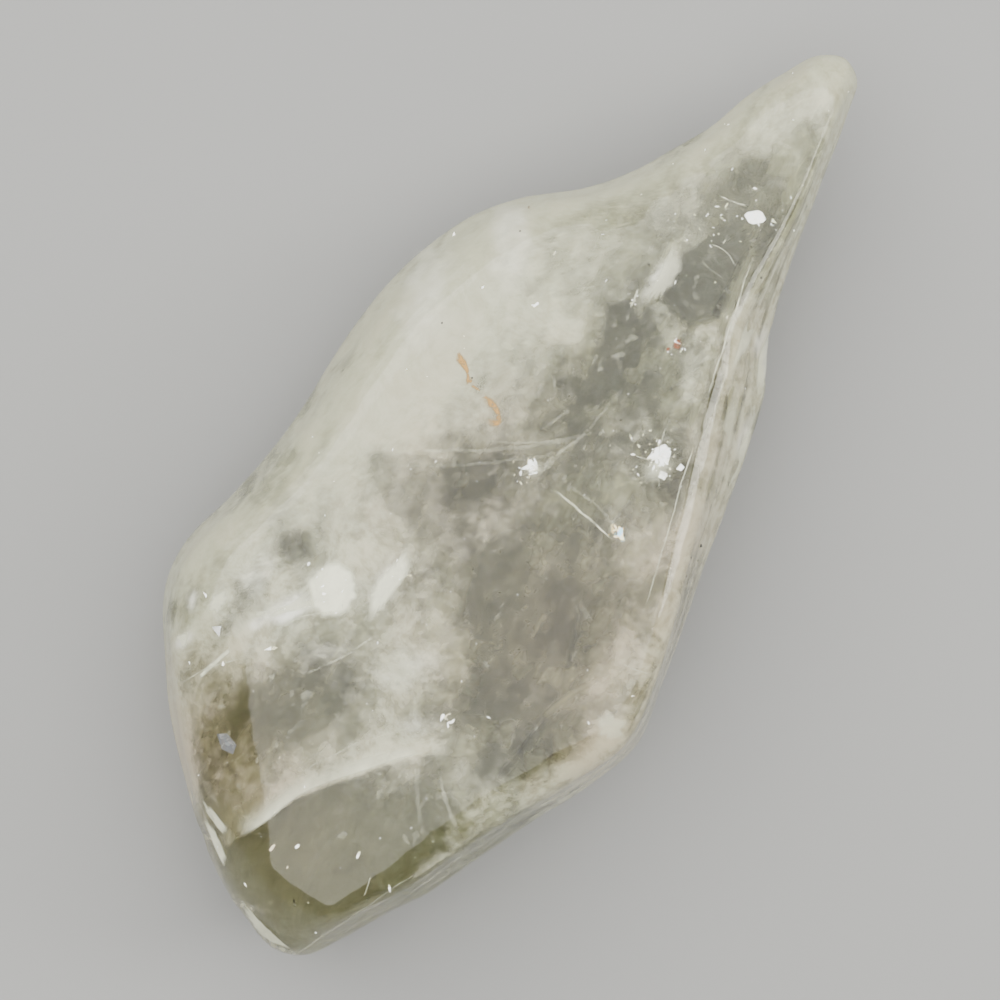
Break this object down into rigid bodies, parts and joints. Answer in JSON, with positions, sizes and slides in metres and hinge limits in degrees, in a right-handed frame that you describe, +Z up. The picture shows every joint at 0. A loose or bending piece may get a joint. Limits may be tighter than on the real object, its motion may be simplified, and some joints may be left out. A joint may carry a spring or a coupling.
{
  "type": "polished prasiolite",
  "caption": "Hand-polished freeform of pale green quartz with a long pointed tip, a broad front face, a steep side facet and a flat back facet to rest on.",
  "frame": {"origin": "centre of the stone's footprint, on the plane of the flat back facet it rests on", "axes": "+Y along the stone towards its pointed tip, +Z up from the resting facet to the front face, +X towards the steep side facet"},
  "size_m": [0.0242, 0.0528, 0.0136],
  "materials": {
    "quartz": "polished, see-through with milky veils inside"
  },
  "bodies": {
    "root": {"prasiolite_stone": "quartz"}
  },
  "joints": []
}
